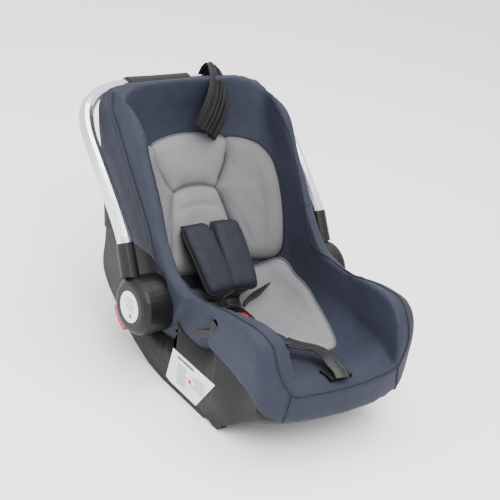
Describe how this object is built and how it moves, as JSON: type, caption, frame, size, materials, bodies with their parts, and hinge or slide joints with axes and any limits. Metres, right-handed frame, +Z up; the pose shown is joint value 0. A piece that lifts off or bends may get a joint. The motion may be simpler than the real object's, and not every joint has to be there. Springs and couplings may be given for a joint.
{
  "type": "infant car seat",
  "caption": "Rear-facing infant carrier with a padded bucket, rocker base, harness and swinging carry handle.",
  "frame": {"origin": "on the floor, under the middle of the whole seat's bounding box", "axes": "+Z up, the child faces -Y, the child's right side is -X"},
  "size_m": [0.4382, 0.6366, 0.451],
  "materials": {
    "navy_cloth": "matte",
    "grey_cloth": "matte",
    "black_plastic": "satin",
    "webbing": "satin",
    "foam": "matte",
    "canopy_mesh": "matte",
    "steel": "satin",
    "red_plastic": "satin",
    "label_paper": "satin",
    "aluminium_tube": "satin",
    "grip_foam": "matte"
  },
  "bodies": {
    "seat": {"shell": "black_plastic", "rocker_rail_left": "black_plastic", "rocker_rail_right": "black_plastic", "rear_foot": "black_plastic", "pivot_boss_left": "black_plastic", "pivot_boss_right": "black_plastic", "belt_guide_left": "black_plastic", "belt_guide_right": "black_plastic", "buckle_body": "black_plastic", "adjuster_housing": "black_plastic", "foam_back": "foam", "foam_seat": "foam", "cover_back": "navy_cloth", "cover_wing_left": "navy_cloth", "cover_wing_right": "navy_cloth", "cover_seat": "navy_cloth", "cover_hood": "navy_cloth", "cover_side_left": "navy_cloth", "cover_side_right": "navy_cloth", "cover_lip": "navy_cloth", "shoulder_pad_left": "navy_cloth", "shoulder_pad_right": "navy_cloth", "crotch_pad": "navy_cloth", "insert_pillow": "grey_cloth", "insert_back": "grey_cloth", "insert_bolster_left": "grey_cloth", "insert_bolster_right": "grey_cloth", "insert_seat": "grey_cloth", "shoulder_strap_left": "webbing", "shoulder_strap_right": "webbing", "lap_strap_left": "webbing", "lap_strap_right": "webbing", "crotch_strap": "webbing", "adjuster_strap": "webbing", "pivot_axle_left": "steel", "pivot_axle_right": "steel", "buckle_spring": "steel", "tongue_left": "steel", "tongue_right": "steel", "splitter_plate": "steel", "side_label": "label_paper"},
    "handle": {"handle_tube": "aluminium_tube", "handle_grip": "grip_foam", "handle_sleeve_left": "black_plastic", "handle_sleeve_right": "black_plastic", "hub_disc_left": "black_plastic", "hub_disc_right": "black_plastic", "hub_sticker_left": "label_paper", "hub_sticker_right": "label_paper", "release_spring_left": "steel", "release_spring_right": "steel", "canopy_cloth": "canopy_mesh"},
    "release_left": {"release_lever_left": "red_plastic"},
    "release_right": {"release_lever_right": "red_plastic"},
    "buckle_button": {"buckle_button": "red_plastic"},
    "adjuster_lever": {"adjuster_lever": "steel"}
  },
  "joints": [
    {"name": "handle_swing", "type": "hinge", "parent": "seat", "child": "handle", "pos_m": [0, -0.01269, 0.138], "axis": [1, 0, 0], "range_deg": [0, 72]},
    {"name": "release_press_left", "type": "slide", "parent": "handle", "child": "release_left", "axis": [0, -0.6428, 0.766], "range_m": [0, 0.004], "stiffness_N_per_m": 500, "springref_m": -0.001},
    {"name": "release_press_right", "type": "slide", "parent": "handle", "child": "release_right", "axis": [0, -0.6428, 0.766], "range_m": [0, 0.004], "stiffness_N_per_m": 500, "springref_m": -0.001},
    {"name": "buckle_press", "type": "slide", "parent": "seat", "child": "buckle_button", "axis": [0, 0, -1], "range_m": [0, 0.005], "stiffness_N_per_m": 600, "springref_m": -0.001},
    {"name": "adjuster_tilt", "type": "hinge", "parent": "seat", "child": "adjuster_lever", "pos_m": [0, -0.28569, 0.121], "axis": [1, 0, 0], "range_deg": [-15, 0], "stiffness_Nm_per_rad": 0.3, "springref_deg": 4.58}
  ]
}
